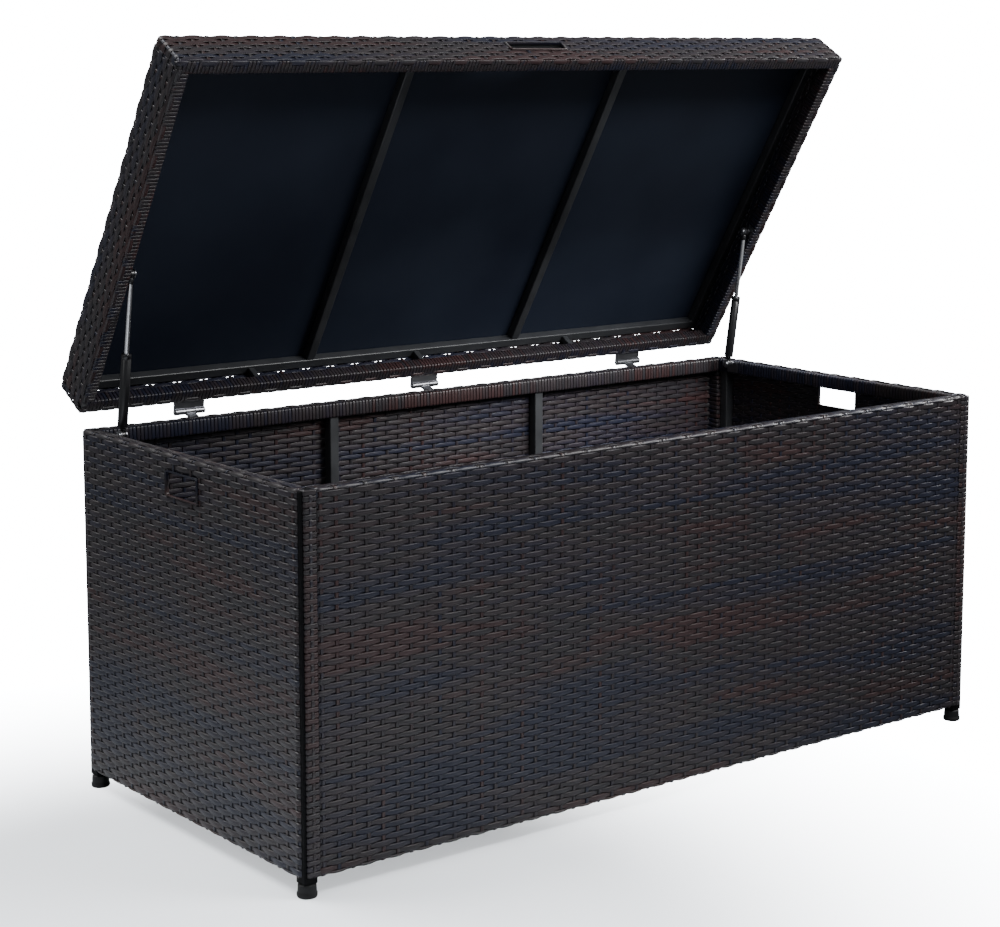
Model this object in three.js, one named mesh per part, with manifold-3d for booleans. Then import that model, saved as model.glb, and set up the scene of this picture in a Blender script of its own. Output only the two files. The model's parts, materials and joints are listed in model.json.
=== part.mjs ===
// Wicker deck storage box with its lid held open by two gas struts.
// Millimetres, +Z up, front towards -Y, standing on z = 0.
import * as THREE from "three";
import { mergeVertices } from "three/addons/utils/BufferGeometryUtils.js";
import Module from "manifold-3d";

const wasm = await Module();
wasm.setup();

// ---- driving dimensions ----

// Body, measured over the weave.
const bodyWidth = 1550;
const bodyDepth = 710;
const rimHeight = 651;
const weaveBottom = 33;
// The open lid reaches further back than the body, and the origin is the middle of the whole.
const bodyCentreY = -44.56;

const weave = 4; // thickness of a woven sheet
const wrap = 3; // wicker wound round a rim tube
const gap = 0.3; // between touching pieces
const sink = 1; // how far a joined shape runs into its neighbour
const postTube = 25; // square tube of the posts and rails
const ribTube = 20; // square tube of the ribs and stiles
const ribX = 250; // ribs and cross bars stand this far either side of the middle
const railLift = 1.5; // bottom rails above the weave's lower edge
const floorThickness = 5;
const floorPlay = 0.5; // floor panel short of the end rails
const floorRest = 4; // floor panel lapping the front and rear rails
const footRadius = 16.5;
const footHeight = 22;

// Hand holes in the side panels.
const handleWidth = 104;
const handleHeight = 41;
const handleTop = rimHeight - 30;

// Lid, described closed.
const lidWidth = 1534;
const lidDepth = 729;
const lidHeight = 84;
const lidBackY = 363;
const lidBottom = rimHeight + 3;
const lidTube = 22;
const lidTopTube = 18;
const rimTubeLift = 1; // rim tubes above the skirts' lower edge
const linerThickness = 2.4;
const slotWidth = 130;
const slotHeight = 24;
const slotBelowTop = 27;

// Lid hinges.
const hingeY = 384;
const hingeZ = 655;
const hingeSpacing = 534;
const leafWidth = 62;
const leafThickness = 2.5;
const leafHeight = 38;
const knuckleRadius = 6;
const knuckleWidth = 19;
const pinRadius = 3;
const pinOverhang = 4; // pin longer than the leaf is wide
const bodyPadTop = 12; // leaf's top and the neck's two roots, below the rail's top
const bodyNeckOuter = 9;
const bodyNeckInner = 5;
const lidPadBottom = 12; // leaf's bottom and the neck's two roots, above the lid's lower edge
const lidNeckInner = 10;
const lidNeckOuter = 16;
const runningGap = 0.1;
const webClearance = 0.5; // between the lid leaf's web and the middle knuckle
const lidOpenAngle = THREE.MathUtils.degToRad(58.8);

// Gas struts.
const strutX = 729.5;
const strutFootY = 281;
const strutFootZ = 645;
const strutHeadY = 71; // with the lid closed
const strutHeadZ = 671.5;
const cylinderRadius = 9.2;
const cylinderBore = 7.2;
const cylinderTop = 148; // from the foot pivot to the cylinder's mouth
const rodRadius = 3.5;
const rodLength = 185; // from the head pivot to the piston's end
const pistonRadius = 5.8;
const pistonLength = 10;
const eyeRadius = 8;
const eyeWidth = 8;
const studRadius = 4;
const studHeadRadius = 6.5;
const studHeadLength = 3;
const studPlateWidth = 30;
const footPlateHeight = 23;
const footPlateDrop = 20; // foot plate's lower edge below the pivot
const headPlateHeight = 16;
const rodClearance = 0.4; // round the rod at the cylinder's mouth

// ---- colours ----

const wicker = { color: 0x3f3637, roughness: 0.55, metalness: 0 };
const frameSteel = { color: 0x1d1c1e, roughness: 0.45, metalness: 0.3 };
const zinc = { color: 0x8f9396, roughness: 0.35, metalness: 0.9 };
const chrome = { color: 0xd8dadc, roughness: 0.1, metalness: 1 };
const blackSteel = { color: 0x0c0d0f, roughness: 0.35, metalness: 0.3 };
const blackPlastic = { color: 0x0a0a0b, roughness: 0.6, metalness: 0 };
const fabric = { color: 0x11151d, roughness: 0.9, metalness: 0 };
const board = { color: 0x2a2628, roughness: 0.7, metalness: 0 };

// ---- helpers ----

function addMesh(parent, name, geometry, look) {
  const mesh = new THREE.Mesh(geometry, new THREE.MeshStandardMaterial(look));
  mesh.name = name;
  parent.add(mesh);
  return mesh;
}

// A box between two values on each axis.
function box(x, y, z) {
  const geometry = new THREE.BoxGeometry(x[1] - x[0], y[1] - y[0], z[1] - z[0]);
  return geometry.translate((x[0] + x[1]) / 2, (y[0] + y[1]) / 2, (z[0] + z[1]) / 2);
}

function about(middle, width) {
  return [middle - width / 2, middle + width / 2];
}

// A cylinder along X between two values.
function barrel(x, y, z, radius, segments = 24) {
  const geometry = new THREE.CylinderGeometry(radius, radius, x[1] - x[0], segments);
  return geometry.rotateZ(Math.PI / 2).translate((x[0] + x[1]) / 2, y, z);
}

// A flat outline in Y and Z, drawn out along X between two values.
function plate(outline, x) {
  const shape = new THREE.Shape(outline.map(([y, z]) => new THREE.Vector2(y, z)));
  const geometry = new THREE.ExtrudeGeometry(shape, { depth: x[1] - x[0], bevelEnabled: false });
  return geometry.rotateZ(Math.PI / 2).rotateY(Math.PI / 2).translate(x[0], 0, 0);
}

function toSolid(geometry) {
  const bare = geometry.clone().deleteAttribute("normal").deleteAttribute("uv");
  const merged = mergeVertices(bare, 1e-4);
  return new wasm.Manifold(
    new wasm.Mesh({
      numProp: 3,
      vertProperties: merged.attributes.position.array,
      triVerts: new Uint32Array(merged.index.array),
    }),
  );
}

function toGeometry(solid) {
  const mesh = solid.getMesh();
  return new THREE.BufferGeometry()
    .setAttribute("position", new THREE.BufferAttribute(mesh.vertProperties, 3))
    .setIndex(new THREE.BufferAttribute(mesh.triVerts, 1))
    .toNonIndexed();
}

function join(...geometries) {
  return toGeometry(geometries.map(toSolid).reduce((a, b) => a.add(b)));
}

function cut(geometry, ...tools) {
  return toGeometry(tools.map(toSolid).reduce((a, b) => a.subtract(b), toSolid(geometry)));
}

// ---- scene graph ----

const group = new THREE.Group();
const body = new THREE.Group();
body.position.y = bodyCentreY;
group.add(body);

// The lid is drawn closed and turned open about its hinge line.
const lidHinge = new THREE.Group();
lidHinge.position.set(0, hingeY, hingeZ);
lidHinge.rotation.x = -lidOpenAngle;
const lid = new THREE.Group();
lid.position.set(0, -hingeY, -hingeZ);
lidHinge.add(lid);
body.add(lidHinge);

const ends = { left: -1, right: 1 };
const faces = { front: -1, rear: 1 };

// ---- body frame ----

const halfWidth = bodyWidth / 2;
const halfDepth = bodyDepth / 2;
const postX = halfWidth - weave - gap - postTube / 2;
const postY = halfDepth - weave - gap - postTube / 2;
const railTop = rimHeight - wrap;
const topRailZ = [railTop - postTube, railTop];
const bottomRailZ = [weaveBottom + railLift, weaveBottom + railLift + postTube];
const uprightZ = [bottomRailZ[1] + gap, topRailZ[0] - gap];
const railEndX = postX - postTube / 2 - gap;
const railEndY = postY - postTube / 2 - gap;

function addPostsAndFeet() {
  for (const [face, ySide] of Object.entries(faces)) {
    for (const [end, xSide] of Object.entries(ends)) {
      const post = box(
        about(xSide * postX, postTube),
        about(ySide * postY, postTube),
        [footHeight + gap, railTop],
      );
      addMesh(body, `${face}_${end}_post`, post, frameSteel);
      const cap = new THREE.LatheGeometry(
        [
          [0, 0],
          [footRadius - 2, 0],
          [footRadius, 2],
          [footRadius, footHeight - 2],
          [footRadius - 2, footHeight],
          [0, footHeight],
        ].map(([r, z]) => new THREE.Vector2(r, z)),
        32,
      );
      cap.rotateX(Math.PI / 2).translate(xSide * postX, ySide * postY, 0);
      addMesh(body, `${face}_${end}_foot`, cap, blackPlastic);
    }
  }
}

function addRails() {
  for (const [level, z] of Object.entries({ top: topRailZ, bottom: bottomRailZ })) {
    for (const [face, side] of Object.entries(faces)) {
      const rail = box([-railEndX, railEndX], about(side * postY, postTube), z);
      addMesh(body, `${face}_${level}_rail`, rail, frameSteel);
    }
    for (const [end, side] of Object.entries(ends)) {
      const rail = box(about(side * postX, postTube), [-railEndY, railEndY], z);
      addMesh(body, `${end}_${level}_rail`, rail, frameSteel);
    }
  }
}

// Uprights between the bottom and top rails, flush with the rails' outer faces.
function addUprights() {
  const ribY = postY + postTube / 2 - ribTube / 2;
  const stileX = postX + postTube / 2 - ribTube / 2;
  const stileY = railEndY - ribTube / 2;
  for (const [face, ySide] of Object.entries(faces)) {
    for (const [end, xSide] of Object.entries(ends)) {
      const rib = box(about(xSide * ribX, ribTube), about(ySide * ribY, ribTube), uprightZ);
      addMesh(body, `${face}_${end}_rib`, rib, frameSteel);
      const stile = box(about(xSide * stileX, ribTube), about(ySide * stileY, ribTube), uprightZ);
      addMesh(body, `${end}_${face}_stile`, stile, frameSteel);
    }
  }
}

// The floor rests on the front and rear bottom rails, between the ribs.
function addFloor() {
  const x = railEndX - floorPlay;
  const y = railEndY + floorRest;
  const z = bottomRailZ[1] + gap;
  const panel = box([-x, x], [-y, y], [z, z + floorThickness]);
  addMesh(body, "floor_panel", panel, board);
  const bearer = box(about(0, postTube), [-railEndY, railEndY], bottomRailZ);
  addMesh(body, "floor_bearer", bearer, frameSteel);
}

function addBodyWeave() {
  const z = [weaveBottom, railTop];
  for (const [face, side] of Object.entries(faces)) {
    const y = about(side * (halfDepth - weave / 2), weave);
    addMesh(body, `${face}_weave`, box([-halfWidth, halfWidth], y, z), wicker);
  }
  const endY = halfDepth - weave - gap;
  for (const [end, side] of Object.entries(ends)) {
    const sheet = box(about(side * (halfWidth - weave / 2), weave), [-endY, endY], z);
    const hole = box(
      about(side * halfWidth, 4 * weave),
      about(0, handleWidth),
      [handleTop - handleHeight, handleTop],
    );
    addMesh(body, `${end}_weave`, cut(sheet, hole), wicker);
  }
}

// ---- lid ----

function addLid() {
  const x = lidWidth / 2;
  const frontY = lidBackY - lidDepth;
  const top = lidBottom + lidHeight;
  const skirtTop = top - weave - gap;
  addMesh(lid, "lid_top_weave", box([-x, x], [frontY, lidBackY], [top - weave, top]), wicker);

  const skirtY = { front: [frontY, frontY + weave], rear: [lidBackY - weave, lidBackY] };
  const skirtZ = [lidBottom, skirtTop];
  const slotTop = top - slotBelowTop;
  const slot = box(
    about(0, slotWidth),
    about(frontY, 4 * weave),
    [slotTop - slotHeight, slotTop],
  );
  addMesh(lid, "lid_front_skirt", cut(box([-x, x], skirtY.front, skirtZ), slot), wicker);
  addMesh(lid, "lid_rear_skirt", box([-x, x], skirtY.rear, skirtZ), wicker);
  const endY = [skirtY.front[1] + gap, skirtY.rear[0] - gap];
  for (const [end, side] of Object.entries(ends)) {
    const skirt = box(about(side * (x - weave / 2), weave), endY, skirtZ);
    addMesh(lid, `lid_${end}_skirt`, skirt, wicker);
  }

  const inX = x - weave - gap;
  const linerZ = [skirtTop - gap - linerThickness, skirtTop - gap];
  addMesh(lid, "lid_liner", box([-inX, inX], endY, linerZ), fabric);

  const levels = {
    rim: { tube: lidTube, z: [lidBottom + rimTubeLift, lidBottom + rimTubeLift + lidTube] },
    upper: { tube: lidTopTube, z: [linerZ[0] - gap - lidTopTube, linerZ[0] - gap] },
  };
  for (const [level, { tube, z }] of Object.entries(levels)) {
    addMesh(lid, `lid_front_${level}_tube`, box([-inX, inX], [endY[0], endY[0] + tube], z), frameSteel);
    addMesh(lid, `lid_rear_${level}_tube`, box([-inX, inX], [endY[1] - tube, endY[1]], z), frameSteel);
    const y = [endY[0] + tube + gap, endY[1] - tube - gap];
    for (const [end, side] of Object.entries(ends)) {
      const sideTube = box(about(side * (inX - tube / 2), tube), y, z);
      addMesh(lid, `lid_${end}_${level}_tube`, sideTube, frameSteel);
    }
    if (level === "upper") {
      for (const [end, side] of Object.entries(ends)) {
        addMesh(lid, `lid_${end}_cross_bar`, box(about(side * ribX, tube), y, z), frameSteel);
      }
    }
  }
}

// ---- hinges ----

// The body leaf has the middle knuckle with the pin in it, and the lid leaf the outer two.
function addHinge(name, x) {
  const bodyFace = halfDepth + gap;
  const bodyLeaf = plate(
    [
      [bodyFace, railTop - leafHeight],
      [bodyFace + leafThickness, railTop - leafHeight],
      [bodyFace + leafThickness, railTop - bodyNeckOuter],
      [hingeY, hingeZ - knuckleRadius],
      [hingeY, hingeZ],
      [bodyFace, railTop - bodyNeckInner],
    ],
    about(x, knuckleWidth),
  );
  const bodyPad = box(
    about(x, leafWidth),
    [bodyFace, bodyFace + leafThickness],
    [railTop - leafHeight, railTop - bodyPadTop],
  );
  const middle = barrel(about(x, knuckleWidth), hingeY, hingeZ, knuckleRadius);
  const pin = barrel(about(x, leafWidth + pinOverhang), hingeY, hingeZ, pinRadius);
  addMesh(body, `${name}_hinge_body_leaf`, join(bodyLeaf, bodyPad, middle, pin), zinc);

  const lidFace = lidBackY + gap;
  const armWidth = (leafWidth - knuckleWidth) / 2 - gap;
  const neck = [
    [lidFace, lidBottom + lidNeckInner],
    [hingeY, hingeZ],
    [hingeY, hingeZ + knuckleRadius],
    [lidFace + leafThickness, lidBottom + lidNeckOuter],
    [lidFace + leafThickness, lidBottom + leafHeight],
    [lidFace, lidBottom + leafHeight],
  ];
  const web = cut(
    plate(neck, about(x, knuckleWidth + 2 * (gap + sink))),
    barrel(about(x, leafWidth), hingeY, hingeZ, knuckleRadius + webClearance),
  );
  const pieces = [
    web,
    box(
      about(x, leafWidth),
      [lidFace, lidFace + leafThickness],
      [lidBottom + lidPadBottom, lidBottom + leafHeight],
    ),
  ];
  const bores = [];
  for (const side of [-1, 1]) {
    const span = about(x + side * (leafWidth - armWidth) / 2, armWidth);
    pieces.push(
      plate(neck, span),
      barrel(span, hingeY, hingeZ, knuckleRadius),
    );
    bores.push(barrel([span[0] - sink, span[1] + sink], hingeY, hingeZ, pinRadius + runningGap));
  }
  addMesh(lid, `${name}_hinge_lid_leaf`, cut(join(...pieces), ...bores), zinc);
}

// ---- gas struts ----

const foot = new THREE.Vector2(strutFootY, strutFootZ);
const head = new THREE.Vector2(strutHeadY, strutHeadZ)
  .rotateAround(new THREE.Vector2(hingeY, hingeZ), -lidOpenAngle);
const strutLength = foot.distanceTo(head);
const strutAngle = head.clone().sub(foot).angle();

function lathe(profile) {
  return new THREE.LatheGeometry(profile.map(([r, z]) => new THREE.Vector2(r, z)), 24).rotateX(
    Math.PI / 2,
  );
}

// Drawn upright with the foot pivot at the origin.
function cylinderShape() {
  const neck = 6;
  const wall = 8;
  const tube = lathe([
    [0, eyeRadius + neck],
    [cylinderRadius, eyeRadius + neck],
    [cylinderRadius, cylinderTop],
    [rodRadius + rodClearance, cylinderTop],
    [rodRadius + rodClearance, cylinderTop - wall],
    [cylinderBore, cylinderTop - wall],
    [cylinderBore, eyeRadius + neck + wall / 2],
    [0, eyeRadius + neck + wall / 2],
  ]);
  const stem = lathe([
    [0, 0],
    [studRadius, 0],
    [studRadius, eyeRadius + neck + sink],
    [0, eyeRadius + neck + sink],
  ]);
  const eye = barrel(about(0, eyeWidth), 0, 0, eyeRadius);
  const bore = barrel(about(0, 2 * eyeWidth), 0, 0, studRadius + runningGap);
  return cut(join(tube, stem, eye), bore);
}

// Drawn upright with the head pivot at the origin, reaching down.
function rodShape() {
  const rod = lathe([
    [0, -rodLength],
    [pistonRadius, -rodLength],
    [pistonRadius, pistonLength - rodLength],
    [rodRadius, pistonLength - rodLength],
    [rodRadius, 0],
    [0, 0],
  ]);
  return join(rod, barrel(about(0, eyeWidth), 0, 0, eyeRadius));
}

function addStrut(end, side) {
  const x = side * strutX;
  const tilt = strutAngle - Math.PI / 2;
  const strut = new THREE.Group();
  strut.position.set(x, strutFootY, strutFootZ);
  strut.rotation.x = tilt;
  body.add(strut);
  addMesh(strut, `${end}_strut_cylinder`, cylinderShape(), blackSteel);
  const rod = addMesh(strut, `${end}_strut_rod`, rodShape(), chrome);
  rod.position.z = strutLength;

  // A stud on the top rail, through the cylinder's eye, with a head on the inner side.
  const railFace = postX - postTube / 2 - gap;
  const span = (a, b) => (side > 0 ? [a, b] : [-b, -a]);
  const innerFace = strutX - eyeWidth / 2 - gap;
  const footStud = join(
    barrel(span(innerFace - studHeadLength, innerFace), strutFootY, strutFootZ, studHeadRadius),
    barrel(span(innerFace - sink, railFace - sink), strutFootY, strutFootZ, studRadius),
    box(
      span(railFace - leafThickness, railFace),
      about(strutFootY, studPlateWidth),
      [strutFootZ - footPlateDrop, strutFootZ - footPlateDrop + footPlateHeight],
    ),
  );
  addMesh(body, `${end}_strut_foot_stud`, footStud, zinc);

  // The lid's stud stops short of the rod's eye, where the linkage is opened.
  const lidTubeFace = lidWidth / 2 - weave - gap - lidTube - gap;
  const outerFace = strutX + eyeWidth / 2 + gap;
  const headStud = join(
    barrel(span(outerFace, lidTubeFace - sink), strutHeadY, strutHeadZ, studRadius),
    box(
      span(lidTubeFace - leafThickness, lidTubeFace),
      about(strutHeadY, studPlateWidth),
      about(lidBottom + rimTubeLift + lidTube / 2, headPlateHeight),
    ),
  );
  addMesh(lid, `${end}_strut_head_stud`, headStud, zinc);
}

addPostsAndFeet();
addRails();
addUprights();
addFloor();
addBodyWeave();
addLid();
for (const [place, step] of Object.entries({ left: -1, middle: 0, right: 1 })) {
  addHinge(place, step * hingeSpacing);
}
for (const [end, side] of Object.entries(ends)) {
  addStrut(end, side);
}

export default group;
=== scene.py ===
import json
import math
import bmesh
import bpy
import numpy as np
from mathutils import Matrix, Vector


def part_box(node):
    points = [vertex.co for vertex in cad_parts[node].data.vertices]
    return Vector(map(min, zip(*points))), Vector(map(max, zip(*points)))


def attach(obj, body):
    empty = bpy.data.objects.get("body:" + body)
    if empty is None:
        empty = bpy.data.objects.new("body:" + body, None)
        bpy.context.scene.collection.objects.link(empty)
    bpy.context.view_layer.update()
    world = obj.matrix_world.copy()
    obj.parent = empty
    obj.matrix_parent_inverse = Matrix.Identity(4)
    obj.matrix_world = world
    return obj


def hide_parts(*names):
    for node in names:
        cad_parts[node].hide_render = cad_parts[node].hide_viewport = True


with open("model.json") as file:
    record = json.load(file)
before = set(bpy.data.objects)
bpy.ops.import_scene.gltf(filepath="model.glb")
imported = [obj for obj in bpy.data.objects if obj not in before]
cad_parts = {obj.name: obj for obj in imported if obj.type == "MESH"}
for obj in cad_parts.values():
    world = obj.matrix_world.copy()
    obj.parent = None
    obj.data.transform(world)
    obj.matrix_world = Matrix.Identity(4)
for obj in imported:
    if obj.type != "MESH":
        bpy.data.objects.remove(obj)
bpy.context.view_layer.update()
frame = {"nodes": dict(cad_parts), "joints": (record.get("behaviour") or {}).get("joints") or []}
nodes = frame["nodes"]
joints = {joint["name"]: joint for joint in frame["joints"]}
print("frame loaded:", len(nodes), "nodes")

# The lid's pieces are laid out with the lid shut, then turned open about its hinge line.
lidHinge = Vector(joints["lid_hinge"]["pos_m"])
lidOpening = math.radians(joints["lid_hinge"]["range_deg"][1])
lidTurn = (
    Matrix.Translation(lidHinge)
    @ Matrix.Rotation(-lidOpening, 4, "X")
    @ Matrix.Translation(-lidHinge)
)


def nodeBox(name):
    low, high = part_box(name)
    return Vector(low), Vector(high)


def shutBox(name):
    # A lid node's box with the lid shut.
    back = lidTurn.inverted()
    points = [back @ vertex.co for vertex in nodes[name].data.vertices]
    low = Vector([min(p[i] for p in points) for i in range(3)])
    high = Vector([max(p[i] for p in points) for i in range(3)])
    return low, high


# Node helpers, for geometry trees and materials alike.


def wire(tree, kind, settings=None, feeds=None):
    made = tree.nodes.new(kind)
    for key, value in (settings or {}).items():
        setattr(made, key, value)
    for key, value in (feeds or {}).items():
        socket = made.inputs[key]
        if isinstance(value, bpy.types.NodeSocket):
            tree.links.new(value, socket)
        else:
            socket.default_value = value
    return made


def flow(tree, kind, settings=None, feeds=None):
    return wire(tree, kind, settings, feeds).outputs[0]


def calc(tree, operation, *terms):
    return flow(tree, "ShaderNodeMath", {"operation": operation}, dict(enumerate(terms)))


def times(tree, first, second):
    return calc(tree, "MULTIPLY", first, second)


def plus(tree, first, second):
    return calc(tree, "ADD", first, second)


def minus(tree, first, second):
    return calc(tree, "SUBTRACT", first, second)


def over(tree, first, second):
    return calc(tree, "DIVIDE", first, second)


def vector(tree, x=0.0, y=0.0, z=0.0):
    return flow(tree, "ShaderNodeCombineXYZ", feeds={"X": x, "Y": y, "Z": z})


def parted(tree, source):
    return wire(tree, "ShaderNodeSeparateXYZ", feeds={0: source}).outputs


def randomValue(tree, feeds):
    return wire(tree, "FunctionNodeRandomValue", {"data_type": "FLOAT"}, feeds).outputs[1]


def newMaterial(name):
    material = bpy.data.materials.new(name)
    material.use_nodes = True
    tree = material.node_tree
    shader = tree.nodes["Principled BSDF"]
    return material, tree, shader


def stops(tree, factor, colors):
    ramp = wire(tree, "ShaderNodeValToRGB", feeds={"Fac": factor})
    elements = ramp.color_ramp.elements
    while len(elements) < len(colors):
        elements.new(0.5)
    for element, (position, color) in zip(elements, colors):
        element.position = position
        element.color = (*color, 1)
    return ramp.outputs["Color"]


# Camera, stage and light.

cameraValues = {
    "place": (-2.598, -3.223, 1.316),
    "turn": 38.05,  # degrees from the +Y axis towards +X
    "tilt": -8.0,
    "lens": 80.96,
    "sensor": 36,
    "rise": -0.10,
}


def setCamera(values):
    data = bpy.data.cameras.new("camera")
    data.lens = values["lens"]
    data.sensor_width = values["sensor"]
    data.shift_y = values["rise"]
    camera = bpy.data.objects.new("camera", data)
    camera.location = values["place"]
    camera.rotation_euler = (math.radians(90 + values["tilt"]), 0, -math.radians(values["turn"]))
    bpy.context.scene.collection.objects.link(camera)
    bpy.context.scene.camera = camera


stageValues = {
    "floorReach": 30,
    "floorColor": (0.85, 0.89, 0.94, 1),
    "floorRoughness": 0.6,
    "floorMiddle": (-0.95, -0.50, 0.0),
    "floorFade": (0.6, 1.8),  # where the floor starts and ends melting into the white wall: painted light, whiter away from floorMiddle
    "floorSolid": 0.965,
    "skyColor": (0.93, 0.96, 1.0, 1),
    "skyStrength": 0.32,
    "wallStrength": 20.0,
    "sunStrength": 4.2,
    "sunSpread": 36,  # degrees, wide enough for soft shadows
    "sunWay": (1.0, -1.8, -3.6),
}

# Each softbox: its place, its aim, its size, its power and its spread in degrees.
softboxes = {
    "sideBox": ((-4.2, -0.8, 2.0), (0, 0, 0.5), (1.4, 1.4), 15, 180),
    "frontBox": ((1.2, -4.6, 3.0), (0, 0, 0.5), (2.4, 1.4), 26, 180),
    "insideBox": ((0.9, -1.7, 2.3), (0, 0.3, 0.5), (1.2, 0.5), 88, 180),
    "mouthBox": ((0.42, -0.42, 0.98), (0.25, 0.3, 0.42), (0.85, 0.12), 4.6, 75),
    "rightBox": ((3.0, -0.28, 2.0), (0, 0.35, 0.55), (0.6, 0.5), 112, 180),
}


def pointing(way):
    return Vector(way).to_track_quat("-Z", "Y").to_euler()


def addSoftbox(name, place, aim, size, power, spread):
    data = bpy.data.lights.new(name, "AREA")
    data.shape = "RECTANGLE"
    data.size, data.size_y = size
    data.energy = power
    data.spread = math.radians(spread)
    lamp = bpy.data.objects.new(name, data)
    lamp.location = place
    lamp.rotation_euler = pointing(Vector(aim) - Vector(place))
    lamp.visible_camera = False
    bpy.context.scene.collection.objects.link(lamp)


def setFloor(values):
    mesh = bpy.data.meshes.new("floor")
    reach = values["floorReach"]
    corners = [(-reach, -reach, 0), (reach, -reach, 0), (reach, reach, 0), (-reach, reach, 0)]
    mesh.from_pydata(corners, [], [(0, 1, 2, 3)])
    floor = bpy.data.objects.new("floor", mesh)
    bpy.context.scene.collection.objects.link(floor)
    material, tree, shader = newMaterial("paleFloor")
    shader.inputs["Base Color"].default_value = values["floorColor"]
    shader.inputs["Roughness"].default_value = values["floorRoughness"]
    # Painted light: away from floorMiddle, left of the box, the floor turns see-through to the glowing
    # backdrop, so it whitens towards the right; floorSolid below one lets some of that glow through
    # everywhere.
    place = wire(tree, "ShaderNodeTexCoord").outputs["Object"]
    middle = {0: place, 1: values["floorMiddle"]}
    away = wire(tree, "ShaderNodeVectorMath", {"operation": "DISTANCE"}, middle).outputs["Value"]
    start, end = values["floorFade"]
    fade = {"Value": away, "From Min": start, "From Max": end, "To Min": values["floorSolid"], "To Max": 0}
    solid = flow(tree, "ShaderNodeMapRange", {"interpolation_type": "SMOOTHSTEP"}, fade)
    tree.links.new(solid, shader.inputs["Alpha"])
    mesh.materials.append(material)


def setRoom(values):
    world = bpy.data.worlds.new("studio")
    world.use_nodes = True
    tree = world.node_tree
    background = tree.nodes["Background"]
    background.inputs["Color"].default_value = values["skyColor"]
    # The wall behind reads white while the room's own light stays soft and low.
    seen = wire(tree, "ShaderNodeLightPath").outputs["Is Camera Ray"]
    gain = {"Value": seen, "To Min": values["skyStrength"], "To Max": values["wallStrength"]}
    tree.links.new(flow(tree, "ShaderNodeMapRange", feeds=gain), background.inputs["Strength"])
    bpy.context.scene.world = world
    data = bpy.data.lights.new("ceiling", "SUN")
    data.energy = values["sunStrength"]
    data.angle = math.radians(values["sunSpread"])
    ceiling = bpy.data.objects.new("ceiling", data)
    ceiling.rotation_euler = pointing(values["sunWay"])
    bpy.context.scene.collection.objects.link(ceiling)


setCamera(cameraValues)
setFloor(stageValues)
setRoom(stageValues)
for name, box in softboxes.items():
    addSoftbox(name, *box)
print("camera, floor and lights set")


# Geometry trees for strands.


def geometryTree(name, floats=(), vectors=(), whole=()):
    tree = bpy.data.node_groups.new(name, "GeometryNodeTree")
    kinds = [
        (floats, "NodeSocketFloat"),
        (vectors, "NodeSocketVector"),
        (whole, "NodeSocketInt"),
        (["material"], "NodeSocketMaterial"),
    ]
    for names, kind in kinds:
        for each in names:
            tree.interface.new_socket(name=each, in_out="INPUT", socket_type=kind)
    tree.interface.new_socket(name="geometry", in_out="OUTPUT", socket_type="NodeSocketGeometry")
    given = tree.nodes.new("NodeGroupInput").outputs
    return tree, given


def storeValue(tree, geometry, name, value, kind="FLOAT"):
    settings = {"data_type": kind, "domain": "POINT"}
    feeds = {"Geometry": geometry, "Name": name, "Value": value}
    return flow(tree, "GeometryNodeStoreNamedAttribute", settings, feeds)


def readValue(tree, name):
    return flow(tree, "GeometryNodeInputNamedAttribute", {"data_type": "FLOAT"}, {"Name": name})


def moved(tree, geometry, **feeds):
    return flow(tree, "GeometryNodeTransform", feeds={"Geometry": geometry, **feeds})


def pointRow(tree, count, pitch, axis, shift=0.0):
    # Points a pitch apart along an axis, with the row's middle at the origin.
    reach = times(tree, minus(tree, count, 1.0), times(tree, pitch, -0.5))
    feeds = {
        "Count": count,
        "Start Location": vector(tree, **{axis: plus(tree, reach, shift)}),
        "Offset": vector(tree, **{axis: pitch}),
    }
    return flow(tree, "GeometryNodeMeshLine", {"mode": "OFFSET"}, feeds)


def flatProfile(tree, width, thickness):
    # The oval section of a flat strand, six sided, with its place across kept for the material.
    feeds = {"Resolution": 6, "Radius": 1.0}
    circle = flow(tree, "GeometryNodeCurvePrimitiveCircle", {"mode": "RADIUS"}, feeds)
    place = flow(tree, "GeometryNodeInputPosition")
    across = parted(tree, place)["X"]
    named = storeValue(tree, circle, "strandAcross", across)
    return moved(tree, named, Scale=vector(tree, times(tree, width, 0.5), times(tree, thickness, 0.5), 1.0))


def closeTree(tree, geometry, given):
    # Instances become mesh and take the material.
    solid = flow(tree, "GeometryNodeRealizeInstances", feeds={"Geometry": geometry})
    feeds = {"Geometry": solid, "Material": given["material"]}
    painted = flow(tree, "GeometryNodeSetMaterial", feeds=feeds)
    wire(tree, "NodeGroupOutput", feeds={"geometry": painted})


def finishTree(tree, geometry, given):
    # Tone by strand, place in the flat sheet, smooth faces and the strand's material.
    whole = flow(tree, "FunctionNodeFloatToInt", feeds={0: readValue(tree, "strandIndex")})
    feeds = {"ID": whole, "Seed": given["seed"]}
    tone = randomValue(tree, feeds)
    geometry = storeValue(tree, geometry, "strandTone", tone)
    place = flow(tree, "GeometryNodeInputPosition")
    geometry = storeValue(tree, geometry, "sheetPlace", place, "FLOAT_VECTOR")
    closeTree(tree, flow(tree, "GeometryNodeSetShadeSmooth", feeds={"Geometry": geometry}), given)


strandValues = {
    "flattening": 1.35,  # how far the wave is cut flat at its tops
    "driftScale": 22.0,
    "loopSway": 0.02,
    "cornerSteps": 3,
}


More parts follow.
